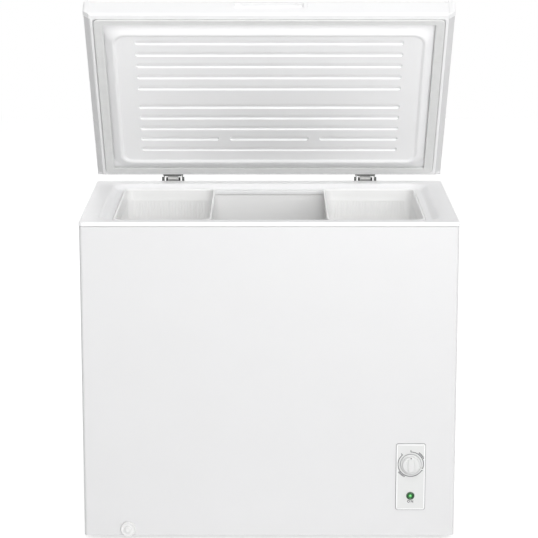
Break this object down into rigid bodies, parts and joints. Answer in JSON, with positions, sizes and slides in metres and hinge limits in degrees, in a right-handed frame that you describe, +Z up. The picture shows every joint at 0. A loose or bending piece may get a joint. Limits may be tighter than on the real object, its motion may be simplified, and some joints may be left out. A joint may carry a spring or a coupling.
{
  "type": "chest freezer",
  "caption": "Open white chest freezer: foamed cabinet, hinged lid on spring hinges, sliding baskets, thermostat and drain.",
  "frame": {"origin": "on the ground under the middle of the freezer's box, with the lid in its stored open place", "axes": "+X to the right seen from the front, +Y to the back, +Z up"},
  "size_m": [0.948, 0.6357, 1.3556],
  "materials": {
    "white_enamel": "gloss",
    "back_steel": "satin",
    "white_plastic": "satin",
    "panel_plastic": "satin",
    "basket_plastic": "satin",
    "tub_sheet": "satin",
    "foam": "matte",
    "zinc_steel": "satin",
    "hinge_steel": "satin",
    "black_steel": "gloss",
    "black_plastic": "matte",
    "grey_rubber": "matte",
    "black_rubber": "matte",
    "copper": "satin",
    "green_lens": "gloss",
    "green_lamp": "gloss",
    "grey_wire": "matte"
  },
  "bodies": {
    "cabinet": {"cabinet_wrap": "white_enamel", "rear_panel": "back_steel", "rear_panel_screws": "zinc_steel", "base_pan": "zinc_steel", "feet": "black_plastic", "collar": "white_plastic", "inner_liner": "tub_sheet", "insulation_foam": "foam", "evaporator_tube": "zinc_steel", "condenser_tube": "copper", "compressor_bay_shield": "zinc_steel", "compressor_plate": "zinc_steel", "compressor": "black_steel", "compressor_grommets": "black_rubber", "compressor_bolts": "zinc_steel", "start_relay_cover": "black_plastic", "discharge_tube": "copper", "suction_tube": "copper", "filter_dryer": "copper", "capillary_tube": "copper", "thermostat_body": "panel_plastic", "thermostat_bulb": "copper", "control_panel": "panel_plastic", "indicator_lens": "green_lens", "indicator_lamp": "green_lamp", "wire_harness": "grey_wire", "cord_gland": "black_rubber", "drain_tube": "white_plastic", "rear_grille": "panel_plastic", "hinge_bracket_left": "hinge_steel", "hinge_bracket_right": "hinge_steel", "hinge_pin_left": "zinc_steel", "hinge_pin_right": "zinc_steel", "hinge_spring_left": "zinc_steel", "hinge_spring_right": "zinc_steel", "hinge_bracket_screws": "zinc_steel"},
    "lid": {"lid_skin": "white_enamel", "lid_foam": "foam", "lid_inner_panel": "white_plastic", "lid_gasket": "grey_rubber", "lid_front_trim": "white_plastic", "lid_end_cap_left": "white_plastic", "lid_end_cap_right": "white_plastic", "hinge_leaf_left": "zinc_steel", "hinge_leaf_right": "zinc_steel", "hinge_leaf_screws": "zinc_steel"},
    "hinge_follower_left": {"hinge_follower_left": "zinc_steel"},
    "hinge_follower_right": {"hinge_follower_right": "zinc_steel"},
    "knob": {"thermostat_knob": "panel_plastic", "thermostat_shaft": "zinc_steel"},
    "drain_cap": {"drain_cap": "white_plastic"},
    "floor_plug": {"floor_drain_plug": "white_plastic"},
    "basket_left": {"basket_left": "basket_plastic"},
    "basket_right": {"basket_right": "basket_plastic"}
  },
  "joints": [
    {"name": "lid_hinge", "type": "hinge", "parent": "cabinet", "child": "lid", "pos_m": [0, 0.294, 0.846], "axis": [-1, 0, 0], "range_deg": [-52.5, 32.5]},
    {"name": "hinge_follower_slide_left", "type": "slide", "parent": "cabinet", "child": "hinge_follower_left", "axis": [0, 0, 1], "range_m": [-0.0045, 0.0028], "deforming": ["hinge_spring_left"]},
    {"name": "hinge_follower_slide_right", "type": "slide", "parent": "cabinet", "child": "hinge_follower_right", "axis": [0, 0, 1], "range_m": [-0.0045, 0.0028], "deforming": ["hinge_spring_right"]},
    {"name": "thermostat_turn", "type": "hinge", "parent": "cabinet", "child": "knob", "pos_m": [0.3595, -0.303, 0.203], "axis": [0, 1, 0], "range_deg": [0, 300]},
    {"name": "drain_cap_pull", "type": "slide", "parent": "cabinet", "child": "drain_cap", "axis": [0, -1, 0], "range_m": [0, 0.03]},
    {"name": "floor_plug_lift", "type": "slide", "parent": "cabinet", "child": "floor_plug", "axis": [0, 0, 1], "range_m": [0, 0.04]},
    {"name": "basket_left_slide", "type": "slide", "parent": "cabinet", "child": "basket_left", "axis": [1, 0, 0], "range_m": [0, 0.14]},
    {"name": "basket_right_slide", "type": "slide", "parent": "cabinet", "child": "basket_right", "axis": [-1, 0, 0], "range_m": [0, 0.14]}
  ],
  "couplings": [
    {"joint": "hinge_follower_slide_left", "follows": "lid_hinge", "m_per_rad": 0.00472},
    {"joint": "hinge_follower_slide_right", "follows": "lid_hinge", "m_per_rad": 0.00472}
  ]
}
